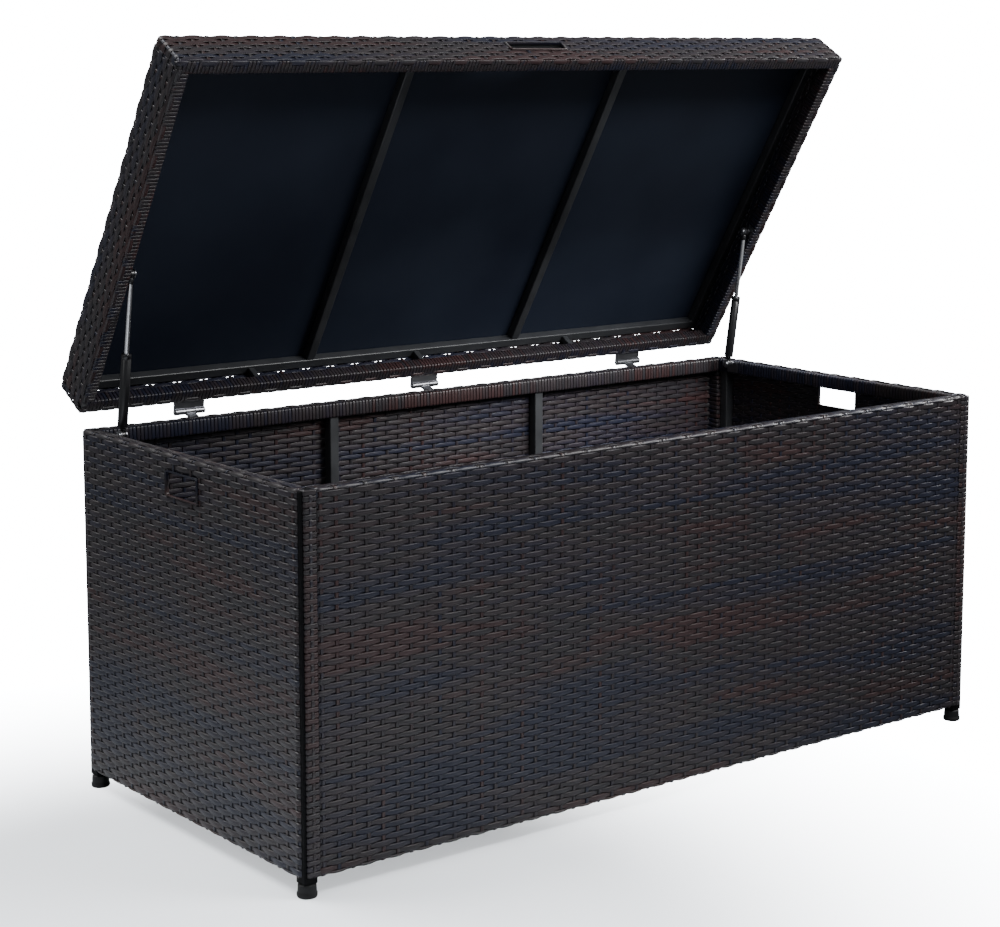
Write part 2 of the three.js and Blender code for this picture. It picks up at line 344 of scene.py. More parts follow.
def cutAtHole(tree, many, given):
    # Where the sheet has a hole, the strands stop exactly at its edges.
    edges = flow(tree, "GeometryNodeCurveToMesh", feeds={"Curve": many})
    place = flow(tree, "GeometryNodeInputPosition")
    parts = parted(tree, place)
    low = parted(tree, given["holeLow"])
    high = parted(tree, given["holeHigh"])
    within = {}
    for axis in ("X", "Y"):
        above = calc(tree, "GREATER_THAN", parts[axis], low[axis])
        below = calc(tree, "LESS_THAN", parts[axis], high[axis])
        within[axis] = times(tree, above, below)
    feeds = {"Geometry": edges, "Selection": times(tree, within["X"], within["Y"])}
    kept = flow(tree, "GeometryNodeDeleteGeometry", {"domain": "POINT"}, feeds)
    curves = flow(tree, "GeometryNodeMeshToCurve", feeds={"Mesh": kept})
    sample = over(tree, given["crossPitch"], given["steps"])
    draw = 0.0
    for rim in (low["X"], high["X"]):
        toRim = minus(tree, rim, parts["X"])
        near = calc(tree, "LESS_THAN", calc(tree, "ABSOLUTE", toRim), sample)
        draw = plus(tree, draw, times(tree, times(tree, near, within["Y"]), toRim))
    feeds = {"Geometry": curves, "Offset": vector(tree, draw)}
    curves = flow(tree, "GeometryNodeSetPosition", feeds=feeds)
    return storeValue(tree, curves, "strandAlong", parts["X"]), parts["X"], place


def strandTree(values):
    # Strands along X, one every pitch across Y, over and under the strands that cross them.
    floats = [
        "length", "span", "pitch", "crossPitch", "strandWidth", "thickness", "swell", "start", "steps",
        "unevenness",
    ]
    tree, given = geometryTree("strandSet", floats, ["holeLow", "holeHigh"], ["seed"])
    count = calc(tree, "ROUND", over(tree, given["span"], given["pitch"]))
    crossings = calc(tree, "ROUND", over(tree, given["length"], given["crossPitch"]))
    line = pointRow(tree, count, given["pitch"], "y")
    line = storeValue(tree, line, "strandIndex", flow(tree, "GeometryNodeInputIndex"))
    left = vector(tree, times(tree, given["length"], -0.5))
    right = vector(tree, times(tree, given["length"], 0.5))
    strand = flow(tree, "GeometryNodeCurvePrimitiveLine", feeds={"Start": left, "End": right})
    samples = plus(tree, times(tree, crossings, given["steps"]), 1.0)
    strand = flow(tree, "GeometryNodeResampleCurve", feeds={"Curve": strand, "Count": samples})
    many = flow(tree, "GeometryNodeInstanceOnPoints", feeds={"Points": line, "Instance": strand})
    many = flow(tree, "GeometryNodeRealizeInstances", feeds={"Geometry": many})
    curves, along, place = cutAtHole(tree, many, given)

    # The wave is flattened at its tops, so each float lies nearly straight.
    gaps = minus(tree, crossings, 1.0)
    first = times(tree, gaps, times(tree, given["crossPitch"], -0.5))
    turns = over(tree, minus(tree, along, first), given["crossPitch"])
    phase = plus(tree, plus(tree, turns, readValue(tree, "strandIndex")), given["start"])
    wave = times(tree, calc(tree, "COSINE", times(tree, phase, math.pi)), values["flattening"])
    wave = calc(tree, "MAXIMUM", calc(tree, "MINIMUM", wave, 1.0), -1.0)
    lift = times(tree, wave, given["swell"])
    feeds = {"Vector": place, "W": given["seed"], "Scale": values["driftScale"], "Detail": 1.0}
    drift = flow(tree, "ShaderNodeTexNoise", {"noise_dimensions": "4D"}, feeds)
    wander = times(tree, minus(tree, drift, 0.5), given["unevenness"])
    feeds = {"Geometry": curves, "Offset": vector(tree, 0.0, wander, plus(tree, lift, wander))}
    curves = flow(tree, "GeometryNodeSetPosition", feeds=feeds)
    curves = flow(tree, "GeometryNodeSetCurveNormal", {"mode": "Z_UP"}, {"Curve": curves})
    profile = flatProfile(tree, given["strandWidth"], given["thickness"])
    feeds = {"Curve": curves, "Profile Curve": profile, "Fill Caps": True}
    finishTree(tree, flow(tree, "GeometryNodeCurveToMesh", feeds=feeds), given)
    return tree


def loopTree(values):
    # Closed loops of strand round a square tube that runs along X.
    floats = ["length", "pitch", "depth", "height", "corner", "strandWidth", "thickness", "shift"]
    tree, given = geometryTree("loopSet", floats, [], ["seed"])
    count = calc(tree, "ROUND", over(tree, given["length"], given["pitch"]))
    line = pointRow(tree, count, given["pitch"], "x", given["shift"])
    line = storeValue(tree, line, "strandIndex", flow(tree, "GeometryNodeInputIndex"))
    feeds = {"Width": given["height"], "Height": given["depth"]}
    square = flow(tree, "GeometryNodeCurvePrimitiveQuadrilateral", {"mode": "RECTANGLE"}, feeds)
    feeds = {"Curve": square, "Radius": given["corner"], "Count": values["cornerSteps"], "Limit Radius": True}
    path = flow(tree, "GeometryNodeFilletCurve", {"mode": "POLY"}, feeds)
    parameter = wire(tree, "GeometryNodeSplineParameter").outputs["Length"]
    path = storeValue(tree, path, "strandAlong", parameter)
    path = flow(tree, "GeometryNodeSetCurveNormal", {"mode": "Z_UP"}, {"Curve": path})
    # The strand's wide side faces out of the loop.
    profile = flatProfile(tree, given["strandWidth"], given["thickness"])
    profile = moved(tree, profile, Rotation=(0, 0, math.pi / 2))
    feeds = {"Curve": path, "Profile Curve": profile, "Fill Caps": False}
    loop = flow(tree, "GeometryNodeCurveToMesh", feeds=feeds)
    loop = moved(tree, loop, Rotation=(0, math.pi / 2, 0))
    feeds = {2: -1.0, 3: 1.0, "Seed": given["seed"]}
    sway = randomValue(tree, feeds)
    lean = times(tree, sway, values["loopSway"])
    feeds = {"Points": line, "Instance": loop, "Rotation": vector(tree, 0.0, lean, lean)}
    many = flow(tree, "GeometryNodeInstanceOnPoints", feeds=feeds)
    finishTree(tree, flow(tree, "GeometryNodeRealizeInstances", feeds={"Geometry": many}), given)
    return tree


def growPiece(name, tree, values):
    # Runs a tree once and keeps its result as a plain mesh.
    holder = bpy.data.objects.new(name, bpy.data.meshes.new(name))
    bpy.context.scene.collection.objects.link(holder)
    modifier = holder.modifiers.new("grow", "NODES")
    modifier.node_group = tree
    for item in tree.interface.items_tree:
        if item.in_out == "INPUT":
            modifier[item.identifier] = values[item.name]
    grown = holder.evaluated_get(bpy.context.evaluated_depsgraph_get())
    mesh = bpy.data.meshes.new_from_object(grown)
    holder.modifiers.remove(modifier)
    holder.data = mesh
    mesh.name = name
    return holder


def readPoints(mesh):
    points = np.empty(len(mesh.vertices) * 3)
    mesh.vertices.foreach_get("co", points)
    return points.reshape(-1, 3)


def writePoints(mesh, points):
    mesh.vertices.foreach_set("co", points.ravel())
    mesh.update()


def fold(along, height, edge, radius):
    # Bends what lies past +edge and -edge down round a rounded corner.
    side = np.sign(along)
    past = np.abs(along) - (edge - radius)
    quarter = radius * math.pi / 2
    angle = np.clip(past, 0, quarter) / radius
    beyond = np.maximum(past - quarter, 0)
    arm = radius + height
    outward = edge - radius + arm * np.sin(angle)
    down = -radius + arm * np.cos(angle) - beyond
    flat = past <= 0
    return np.where(flat, along, side * outward), np.where(flat, height, down)


def foldSheet(mesh, halfWidth, halfHeight, radius):
    points = readPoints(mesh)
    points[:, 0], points[:, 2] = fold(points[:, 0], points[:, 2], halfWidth, radius)
    points[:, 1], points[:, 2] = fold(points[:, 1], points[:, 2], halfHeight, radius)
    writePoints(mesh, points)


def placement(origin, across, up):
    # Columns: along the rows, up the sheet, out of the sheet.
    across, up = Vector(across), Vector(up)
    out = across.cross(up)
    turn = Matrix((across, up, out)).transposed().to_4x4()
    return Matrix.Translation(origin) @ turn


def settle(piece, place, onLid):
    if onLid:
        place = lidTurn @ place
    piece.data.transform(place)
    if place.is_negative:
        piece.data.flip_normals()
    piece.data.update()


# Materials.


def finishMaterial(tree, shader, color, rough, height, strength, depth):
    bump = flow(tree, "ShaderNodeBump", feeds={"Height": height, "Strength": strength, "Distance": depth})
    tree.links.new(color, shader.inputs["Base Color"])
    tree.links.new(rough, shader.inputs["Roughness"])
    tree.links.new(bump, shader.inputs["Normal"])


def noise(tree, place, scale, detail):
    return flow(tree, "ShaderNodeTexNoise", feeds={"Vector": place, "Scale": scale, "Detail": detail})


wickerValues = {
    "tones": [
        (0.40, (0.0056, 0.0066, 0.0150)),  # navy
        (0.46, (0.0122, 0.0094, 0.0134)),  # espresso
        (0.50, (0.0150, 0.0114, 0.0126)),  # grey brown
        (0.54, (0.0104, 0.0094, 0.0116)),  # dusk grey
        (0.60, (0.0200, 0.0092, 0.0096)),  # red brown
    ],
    "patchScale": (1.3, 11.0, 1.0),  # long patches, a few rows high
    "patchShare": 0.9,
    "strandShare": 0.1,
    "streakScale": (30.0, 3.2, 40.0),  # along a strand, across it and from strand to strand
    "streakGain": 1.1,
    "streakBase": 0.45,
    "roughBase": 0.32,
    "roughGain": 0.2,
    "specular": 0.28,
    "grooves": 11.0,
    "grooveHeight": 0.6,
    "ridge": 0.35,
    "reliefDepth": 0.0004,
}


def wickerMaterial(values):
    material, tree, shader = newMaterial("woundWicker")
    place = wire(tree, "ShaderNodeAttribute", {"attribute_name": "sheetPlace"}).outputs["Vector"]
    tone, along, across = [
        wire(tree, "ShaderNodeAttribute", {"attribute_name": name}).outputs["Fac"]
        for name in ("strandTone", "strandAlong", "strandAcross")
    ]
    feeds = {"Vector": place, "Scale": values["patchScale"]}
    patches = noise(tree, flow(tree, "ShaderNodeMapping", {"vector_type": "POINT"}, feeds), 1.0, 2.0)
    mixed = plus(tree, times(tree, patches, values["patchShare"]), times(tree, tone, values["strandShare"]))
    color = stops(tree, mixed, values["tones"])
    # Fine streaks run the length of each strand.
    spread = [times(tree, part, scale) for part, scale in zip((along, across, tone), values["streakScale"])]
    streak = noise(tree, vector(tree, *spread), 1.0, 3.0)
    shade = plus(tree, times(tree, streak, values["streakGain"]), values["streakBase"])
    color = flow(tree, "ShaderNodeVectorMath", {"operation": "SCALE"}, {0: color, "Scale": shade})
    rough = plus(tree, times(tree, streak, values["roughGain"]), values["roughBase"])
    shader.inputs["Specular IOR Level"].default_value = values["specular"]
    grooves = calc(tree, "COSINE", times(tree, across, values["grooves"]))
    relief = plus(tree, times(tree, grooves, values["grooveHeight"]), streak)
    finishMaterial(tree, shader, color, rough, relief, values["ridge"], values["reliefDepth"])
    return material


coatValues = {
    "powderCoat": {
        "color": (0.015, 0.016, 0.018), "roughness": 0.42, "metallic": 0.1, "grain": 900, "relief": 0.25,
    },
    "zincPlate": {
        "color": (0.17, 0.173, 0.185), "roughness": 0.34, "metallic": 1.0, "grain": 500, "relief": 0.15,
    },
    "rodChrome": {
        "color": (0.82, 0.83, 0.85), "roughness": 0.28, "metallic": 1.0, "grain": 300, "relief": 0.03,
        "variation": 0.05,
    },
    # Painted shade in part: the corner posts are black-coated, but this coat is far darker and duller than
    # the rest of the frame so the slit at each corner reads as shade.
    "blackCoat": {
        "color": (0.0015, 0.0015, 0.002), "roughness": 0.7, "metallic": 0.0, "grain": 900, "relief": 0.2,
        "specular": 0.08,
    },
    "cylinderPaint": {
        "color": (0.005, 0.005, 0.006), "roughness": 0.32, "metallic": 0.1, "grain": 700, "relief": 0.08,
    },
    "footPlastic": {
        "color": (0.0030, 0.0030, 0.0035), "roughness": 0.6, "metallic": 0.0, "grain": 1200, "relief": 0.3,
        "specular": 0.25,
    },
    "floorSheet": {
        "color": (0.022, 0.020, 0.021), "roughness": 0.6, "metallic": 0.0, "grain": 400, "relief": 0.3,
    },
}


def coatMaterial(name, color, roughness, metallic, grain, relief, variation=0.15, specular=0.5):
    # A coated, plated or moulded surface with a fine grain and uneven gloss.
    material, tree, shader = newMaterial(name)
    place = wire(tree, "ShaderNodeTexCoord").outputs["Object"]
    fine = noise(tree, place, grain, 3.0)
    broad = noise(tree, place, grain * 0.03, 3.0)
    dark = tuple(c * (1 - variation) for c in color)
    light = tuple(min(1, c * (1 + variation)) for c in color)
    tint = stops(tree, broad, [(0.3, dark), (0.7, light)])
    rough = plus(tree, times(tree, broad, roughness * 0.5), roughness * 0.75)
    shader.inputs["Metallic"].default_value = metallic
    shader.inputs["Specular IOR Level"].default_value = specular
    finishMaterial(tree, shader, tint, rough, fine, relief, 0.0003)
    return material


clothValues = {
    "tones": [(0.35, (0.0023, 0.0041, 0.0100)), (0.65, (0.0046, 0.0075, 0.0150))],
    "threads": 260.0,
    "uneven": 0.4,
    "roughBase": 0.55,
    "roughGain": 0.2,
    "specular": 0.2,
    "ridge": 0.2,
    "reliefDepth": 0.0003,
}


def linerMaterial(values):
    material, tree, shader = newMaterial("linerCloth")
    place = wire(tree, "ShaderNodeTexCoord").outputs["UV"]
    feeds = {"Vector": place, "Scale": values["threads"], "Distortion": values["uneven"]}
    warp, weft = [
        wire(tree, "ShaderNodeTexWave", {"bands_direction": way}, feeds).outputs["Fac"] for way in ("X", "Y")
    ]
    broad = noise(tree, place, 3.0, 4.0)
    tint = stops(tree, broad, values["tones"])
    rough = plus(tree, times(tree, broad, values["roughGain"]), values["roughBase"])
    shader.inputs["Specular IOR Level"].default_value = values["specular"]
    finishMaterial(tree, shader, tint, rough, times(tree, warp, weft), values["ridge"], values["reliefDepth"])
    return material


wicker = wickerMaterial(wickerValues)
coats = {name: coatMaterial(name, **values) for name, values in coatValues.items()}
linerCloth = linerMaterial(clothValues)
print("materials ready")


def dressNode(name, material):
    data = nodes[name].data
    data.materials.clear()
    data.materials.append(material)


# Woven sheets.

weaveValues = {
    "stakePitch": 0.02825,
    "rowPitch": 0.0095,
    "rowWidth": 0.0104,
    "stakeWidth": 0.0070,
    "thickness": 0.0013,
    "rowSwell": 0.0011,
    "stakeSwell": 0.0003,
    "unevenness": 0.0004,
    "overlap": 0.012,  # how far the sheets turn over the top and bottom rails
    "wrapCorner": 0.003,
    "edgeMargin": 0.002,
}
strands = strandTree(strandValues)
loops = loopTree(strandValues)
noHole = ((0, 0, 0), (0, 0, 0))


def bentLength(edge, radius, tuck):
    # Flat distance from the sheet's middle to an edge that turns in by tuck past the corner.
    return edge - radius + radius * math.pi / 2 + tuck


def growSheet(name, width, height, hole, seed, steps=4, rowWidth=weaveValues["rowWidth"]):
    # The flat sheet's rows and stakes, centred on its middle.
    v = weaveValues
    stakePitch = width / round(width / v["stakePitch"])
    rowPitch = height / round(height / v["rowPitch"])
    low, high = hole
    shared = {"thickness": v["thickness"], "unevenness": v["unevenness"], "seed": seed, "material": wicker}
    rowSet = growPiece(name + "_rows", strands, {
        **shared, "length": width, "span": height, "pitch": rowPitch, "crossPitch": stakePitch,
        "strandWidth": rowWidth * rowPitch / v["rowPitch"], "swell": v["rowSwell"], "start": 0.0,
        "steps": steps, "holeLow": low, "holeHigh": high,
    })
    # Stakes are grown along X, then laid up the sheet.
    stakeSet = growPiece(name + "_stakes", strands, {
        **shared, "length": height, "span": width, "pitch": stakePitch, "crossPitch": rowPitch,
        "strandWidth": v["stakeWidth"], "swell": v["stakeSwell"], "start": 1.0, "steps": 2,
        "holeLow": (low[1], -high[0], 0), "holeHigh": (high[1], -low[0], 0),
    })
    stakeSet.data.transform(Matrix.Rotation(math.pi / 2, 4, "Z"))
    return rowSet, stakeSet


def weaveSheet(name, width, height, place, body, folds, seed, hole=noHole, steps=4):
    # width and height are the flat sheet's, and folds says where its edges turn in.
    for piece in growSheet(name, width, height, hole, seed, steps):
        foldSheet(piece.data, *folds)
        finishPiece(piece, place, body, "wicker", name)


def assign(piece, body, slot, *replaced):
    if replaced:
        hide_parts(*replaced)
    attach(piece, body)


def finishPiece(piece, place, body, slot, *replaced):
    settle(piece, place, body == "lid")
    assign(piece, body, slot, *replaced)


def wrapTube(name, low, high, axis, body, pitch, strandWidth, room, seed):
    # Loops of strand wound round a square tube between two corners of its box.
    size = high - low
    # The tree's tube runs along X, with depth across Y and height across Z.
    along, depth, height, turn = {
        "X": (0, 1, 2, Matrix.Identity(4)),
        "Y": (1, 0, 2, Matrix.Rotation(math.pi / 2, 4, "Z")),
        "Z": (2, 1, 0, Matrix.Rotation(-math.pi / 2, 4, "Y")),
    }[axis]
    length = size[along]
    piece = growPiece(name, loops, {
        "length": length, "pitch": length / round(length / pitch), "depth": size[depth] + room,
        "height": size[height] + room, "corner": weaveValues["wrapCorner"], "strandWidth": strandWidth,
        "thickness": weaveValues["thickness"], "shift": 0.0, "seed": seed, "material": wicker,
    })
    finishPiece(piece, Matrix.Translation((low + high) / 2) @ turn, body, "wicker")


def holeIn(name, place, onLid=False):
    # The corners of the hole through a CAD sheet, in the sheet's own place.
    back = place.inverted() @ (lidTurn.inverted() if onLid else Matrix.Identity(4))
    points = [back @ vertex.co for vertex in nodes[name].data.vertices]
    reach = [max(abs(p[i]) for p in points) - weaveValues["edgeMargin"] for i in range(2)]
    inner = [p for p in points if abs(p.x) < reach[0] and abs(p.y) < reach[1]]
    low = [min(p[i] for p in inner) for i in range(2)]
    high = [max(p[i] for p in inner) for i in range(2)]
    return (*low, 0.0), (*high, 0.0)


bindingValues = {
    "length": 0.01,
    "corner": 0.004,
    "liningShrink": -0.0005,
    "frameGrow": 0.002,
    "frameOffset": 0.0016,  # of each frame from the sheet's middle
}


def bindHole(name, place, hole, body, liningWidth, frameWidth, seed):
    # One strand lines the hole and a narrow one frames it on each face of the sheet.
    v = bindingValues
    low, high = Vector(hole[0]), Vector(hole[1])
    size = high - low
    toFace = place @ Matrix.Translation((low + high) / 2) @ Matrix.Rotation(math.pi / 2, 4, "Y")
    for part, grow, offset, width in (
        ("lining", v["liningShrink"], 0.0, liningWidth),
        ("outer", v["frameGrow"], v["frameOffset"], frameWidth),
        ("inner", v["frameGrow"], -v["frameOffset"], frameWidth),
    ):
        piece = growPiece(f"{name}_{part}", loops, {
            "length": v["length"], "pitch": v["length"], "depth": size.y + grow, "height": size.x + grow,
            "corner": v["corner"], "strandWidth": width, "thickness": weaveValues["thickness"],
            "shift": offset, "seed": seed, "material": wicker,
        })
        finishPiece(piece, toFace, body, "wicker")


bodyValues = {
    "corner": 0.004,
    "gap": 0.0065,  # joint between an end sheet and the corner strips; the near-black posts behind it paint the shade in it
    "inset": 0.0050,
    "strip": 0.0315,  # width of the wound strip over each corner post
    "sheetLap": 0.0005,  # how far a sheet reaches under the strip
    "stripLap": 0.0035,
    "stripLift": 0.0006,  # how far the strip stands out from the sheet
    "stripStart": 0.012,  # above the foot cap
    "stripRise": 0.002,  # past the top of the post
    "frontTuck": 0.003,
    "endTuck": 0.001,
    "rimLift": 0.0014,
    "wrapRoom": 0.0016,
    "wrapPitch": 0.0076,
    "wrapWidth": 0.0073,
    "postPitch": 0.0095,
    "postWidth": 0.0090,
    "stakeSpan": 0.006,
    "stakeWidth": 0.0062,
    "stakeSwell": 0.0013,
    "stakeUnevenness": 0.0003,
    "liningWidth": 0.0085,
    "frameWidth": 0.0030,
}


def makeBodySheet(name, across, edge, tuck, seed, hasHole, values):
    corner = values["corner"]
    low, high = nodeBox(name)
    middle = (low + high) / 2
    top = nodeBox("front_top_rail")[1].z + values["rimLift"] - middle.z
    width = 2 * bentLength(edge, corner, tuck)
    height = 2 * bentLength(top, corner, weaveValues["overlap"])
    place = placement(middle, across, (0, 0, 1))
    hole = holeIn(name, place) if hasHole else noHole
    weaveSheet(name, width, height, place, "box_body", (edge, top, corner), seed, hole)
    return place, hole


def makeBodyWeave(values):
    for face, side in (("front", -1), ("rear", 1)):
        name = face + "_weave"
        edge = nodeBox(name)[1].x - values["strip"] + values["sheetLap"]
        makeBodySheet(name, (-side, 0, 0), edge, values["frontTuck"], 3 + side, False, values)
    for end, side in (("left", -1), ("right", 1)):
        name = end + "_weave"
        low, high = nodeBox(name)
        edge = (high.y - low.y) / 2 - values["gap"]
        place, hole = makeBodySheet(name, (0, side, 0), edge, values["endTuck"], 7 + side, True, values)
        widths = values["liningWidth"], values["frameWidth"]
        bindHole(end + "_hand_hole", place, hole, "box_body", *widths, 31 + side)


def wrapRail(name, axis, values):
    seed = len(name) + ord(name[0])
    winding = values["wrapPitch"], values["wrapWidth"], values["wrapRoom"]
    wrapTube(name + "_wrap", *nodeBox(name), axis, "box_body", *winding, seed)


def wrapPost(end, name, values):
    low, high = nodeBox(name)
    face = -1 if end == "front" else 1
    side = -1 if "left" in name else 1
    sheet = nodeBox(end + "_weave")
    outer = (sheet[0].y if face < 0 else sheet[1].y) - face * values["stripLift"]
    inner = low.y if face > 0 else high.y
    reach = max(abs(low.x), abs(high.x))
    outX = side * (reach - values["inset"])
    reachX = side * (reach - values["strip"] + values["stripLap"])
    start = nodeBox(name.replace("post", "foot"))[1].z + values["stripStart"]
    wrapLow = Vector((min(outX, reachX), min(inner, outer), start))
    wrapHigh = Vector((max(outX, reachX), max(inner, outer), high.z + values["stripRise"]))
    winding = values["postPitch"], values["postWidth"], 0.0
    wrapTube(name + "_wrap", wrapLow, wrapHigh, "Z", "box_body", *winding, 50 + len(name) + face)
    # One stake is threaded through the winding, over one turn and under the next.
    length = wrapHigh.z - wrapLow.z
    stake = growPiece(name + "_stake", strands, {
        "length": length, "span": values["stakeSpan"], "pitch": values["stakeSpan"],
        "crossPitch": length / round(length / values["postPitch"]), "strandWidth": values["stakeWidth"],
        "thickness": weaveValues["thickness"], "swell": values["stakeSwell"],
        "start": 1.0 if side < 0 else 0.0, "steps": 4, "unevenness": values["stakeUnevenness"],
        "holeLow": noHole[0], "holeHigh": noHole[1], "seed": 5, "material": wicker,
    })
    middle = Vector(((wrapLow.x + wrapHigh.x) / 2, outer, (wrapLow.z + wrapHigh.z) / 2))
    finishPiece(stake, placement(middle, (0, 0, 1), (face, 0, 0)), "box_body", "wicker")


def makeBodyWraps(values):
    for level in ("top", "bottom"):
        for side, axis in (("front", "X"), ("rear", "X"), ("left", "Y"), ("right", "Y")):
            wrapRail(f"{side}_{level}_rail", axis, values)
    for end in ("front", "rear"):
        for side in ("left", "right"):
            wrapPost(end, f"{end}_{side}_post", values)


lidValues = {
    "corner": 0.005,
    "cornerTurn": 0.010,  # how far the front and rear skirts run round the corners
    "turnRadius": 0.0035,
    "turnIn": 0.006,
    "topInsetX": 0.0045,
    "topInsetY": 0.002,
    "topTuckX": 0.005,
    "topTuckY": 0.0005,
    "skirtFoot": 0.0005,  # above the lid's lower edge
    "skirtInset": 0.002,
    "endGap": 0.001,
    "endDrop": 0.004,  # of the end skirts' upper edges below the top
    "rimRoom": 0.0014,
    "rowWidth": 0.0113,
    "wrapPitch": 0.0072,
    "wrapWidth": 0.0069,
    "liningWidth": 0.008,
    "frameWidth": 0.0032,
}


def makeLidWeave(values):
    corner = values["corner"]
    low, high = shutBox("lid_top_weave")
    middle = (low + high) / 2
    edgeX = high.x - middle.x - values["topInsetX"]
    edgeY = high.y - middle.y - values["topInsetY"]
    width = 2 * bentLength(edgeX, corner, values["topTuckX"])
    height = 2 * bentLength(edgeY, corner, values["topTuckY"])
    place = placement(middle, (1, 0, 0), (0, 1, 0))
    weaveSheet("lid_top_weave", width, height, place, "lid", (edgeX, edgeY, corner), 11, steps=3)
    for face, side in (("front", -1), ("rear", 1)):
        low, high = shutBox(f"lid_{face}_skirt")
        edge = (high.x - low.x) / 2 - values["skirtInset"]
        reach = middle.z - corner - (low.z + values["skirtFoot"])
        makeSkirt(f"lid_{face}", (-side, 0, 0), edge, reach, values["cornerTurn"], values, side)
    top = shutBox("lid_top_weave")[1].z
    for end, side in (("left", -1), ("right", 1)):
        low, high = shutBox(f"lid_{end}_skirt")
        edge = (high.y - low.y) / 2 - values["cornerTurn"] - values["endGap"]
        reach = top - values["endDrop"] - (low.z + values["skirtFoot"])
        makeSkirt(f"lid_{end}", (0, side, 0), edge, reach, 0.0, values, side)


def makeSkirt(name, along, edge, reach, cornerTurn, values, side):
    # The sheet hangs from the lid's top and only its lower edge turns in, under the rim tube.
    low, high = shutBox(name + "_skirt")
    foot = Vector(((low.x + high.x) / 2, (low.y + high.y) / 2, low.z + values["skirtFoot"]))
    radius = values["turnRadius"]
    height = reach + (math.pi / 2 - 1) * radius + values["turnIn"]
    width = 2 * bentLength(edge, values["corner"], cornerTurn)
    place = placement(foot + Vector((0, 0, reach - height / 2)), along, (0, 0, 1))
    hole = holeIn(name + "_skirt", place, True) if "front" in name else noHole
    for piece in growSheet(name + "_skirt", width, height, hole, 17 + side, rowWidth=values["rowWidth"]):
        points = readPoints(piece.data)
        points[:, 0], points[:, 2] = fold(points[:, 0], points[:, 2], edge, values["corner"])
        below = points[:, 1] < 0
        y, z = fold(points[:, 1], points[:, 2], reach - height / 2, radius)
        points[:, 1] = np.where(below, y, points[:, 1])
        points[:, 2] = np.where(below, z, points[:, 2])
        writePoints(piece.data, points)
        finishPiece(piece, place, "lid", "wicker", name + "_skirt")
    if hole is not noHole:
        bindHole("finger_slot", place, hole, "lid", values["liningWidth"], values["frameWidth"], 41)


def makeLidWraps(values):
    for part, axis in (("front", "X"), ("rear", "X"), ("left", "Y"), ("right", "Y")):
        winding = values["wrapPitch"], values["wrapWidth"], values["rimRoom"]
        tube = shutBox(f"lid_{part}_rim_tube")
        wrapTube(f"lid_{part}_rim_wrap", *tube, axis, "lid", *winding, 60 + len(part))


makeBodyWeave(bodyValues)
makeBodyWraps(bodyValues)
print("body weave and wraps made")
makeLidWeave(lidValues)
makeLidWraps(lidValues)
print("lid weave and wraps made")


# Steel frame.

frameValues = {
    "bevel": 0.0022,
    "frontUprights": (-0.383, 0.383),  # none behind the finger slot
    "rearUprights": (-0.383, 0.0, 0.383),
    "uprightSize": 0.012,
    "uprightGap": 0.0005,
    "uprightBevel": 0.0015,
    "boardBevel": 0.001,
    "flatEdge": 35,  # degrees, edges sharper than this are rounded
    "turnedEdge": 40,
}


def addPiece(name, mesh, material):
    mesh.materials.append(material)
    piece = bpy.data.objects.new(name, mesh)
    bpy.context.scene.collection.objects.link(piece)
    return piece


def shapeMesh(name, shape):
    for face in shape.faces:
        face.smooth = True
    bmesh.ops.recalc_face_normals(shape, faces=shape.faces)
    mesh = bpy.data.meshes.new(name)
    shape.to_mesh(mesh)
    shape.free()
    return mesh


def addRounded(name, shape, material):
    # Large flat faces keep flat shading beside their rounded edges.
    piece = addPiece(name, shapeMesh(name, shape), material)
    modifier = piece.modifiers.new("evenNormals", "WEIGHTED_NORMAL")
    modifier.keep_sharp = True
    shaped = piece.evaluated_get(bpy.context.evaluated_depsgraph_get())
    mesh = bpy.data.meshes.new_from_object(shaped)
    piece.modifiers.remove(modifier)
    piece.data = mesh
    mesh.name = name
    return piece


def roundedCopy(name, sources, material, width, segments=2):
    # Copies CAD nodes as one piece, with merged corners and rounded edges.
    shape = bmesh.new()
    for source in sources:
        shape.from_mesh(nodes[source].data)
    bmesh.ops.remove_doubles(shape, verts=shape.verts, dist=1e-6)
    bmesh.ops.dissolve_limit(shape, angle_limit=math.radians(1), verts=shape.verts, edges=shape.edges)
    limit = math.radians(frameValues["flatEdge"])
    sharp = [e for e in shape.edges if len(e.link_faces) == 2 and e.calc_face_angle(0) > limit]
    bmesh.ops.bevel(
        shape, geom=sharp, offset=width, segments=segments, profile=0.5,
        affect="EDGES", clamp_overlap=True, offset_type="OFFSET",
    )
    return addRounded(name, shape, material)


def addBars(name, boxes, material, bevel, turn):
    # Plain bars between corner pairs, with rounded edges, as one piece.
    shape = bmesh.new()
    for low, high in boxes:
        for vertex in bmesh.ops.create_cube(shape, size=1.0)["verts"]:
            vertex.co = Vector([low[i] + (high[i] - low[i]) * (vertex.co[i] + 0.5) for i in range(3)])
    bmesh.ops.bevel(shape, geom=shape.edges[:], offset=bevel, segments=2, profile=0.5, affect="EDGES")
    shape.transform(turn)
    return addRounded(name, shape, material)


